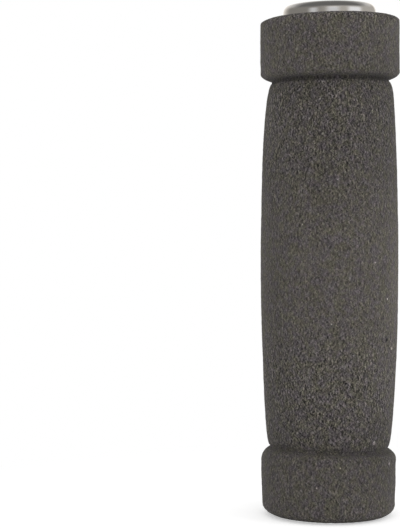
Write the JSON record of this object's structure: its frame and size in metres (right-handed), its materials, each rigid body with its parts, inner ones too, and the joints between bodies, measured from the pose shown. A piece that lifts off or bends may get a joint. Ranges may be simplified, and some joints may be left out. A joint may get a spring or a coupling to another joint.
{
  "type": "handlebar grip",
  "caption": "Cylindrical foam handlebar grip with collared ends and a barrel-shaped body, closed at its outer end by a chromed push-in end plug.",
  "frame": {"origin": "centre of the bore at the sleeve's inner end face, where the handlebar goes in", "axes": "+Z along the handlebar's axis, from the inner end to the end plug"},
  "size_m": [0.0348, 0.0348, 0.1285],
  "materials": {
    "foam": "matt closed-cell foam with fine grain",
    "chromed_plastic": "bright, polished"
  },
  "bodies": {
    "root": {"foam_sleeve": "foam", "end_plug": "chromed_plastic"}
  },
  "joints": []
}
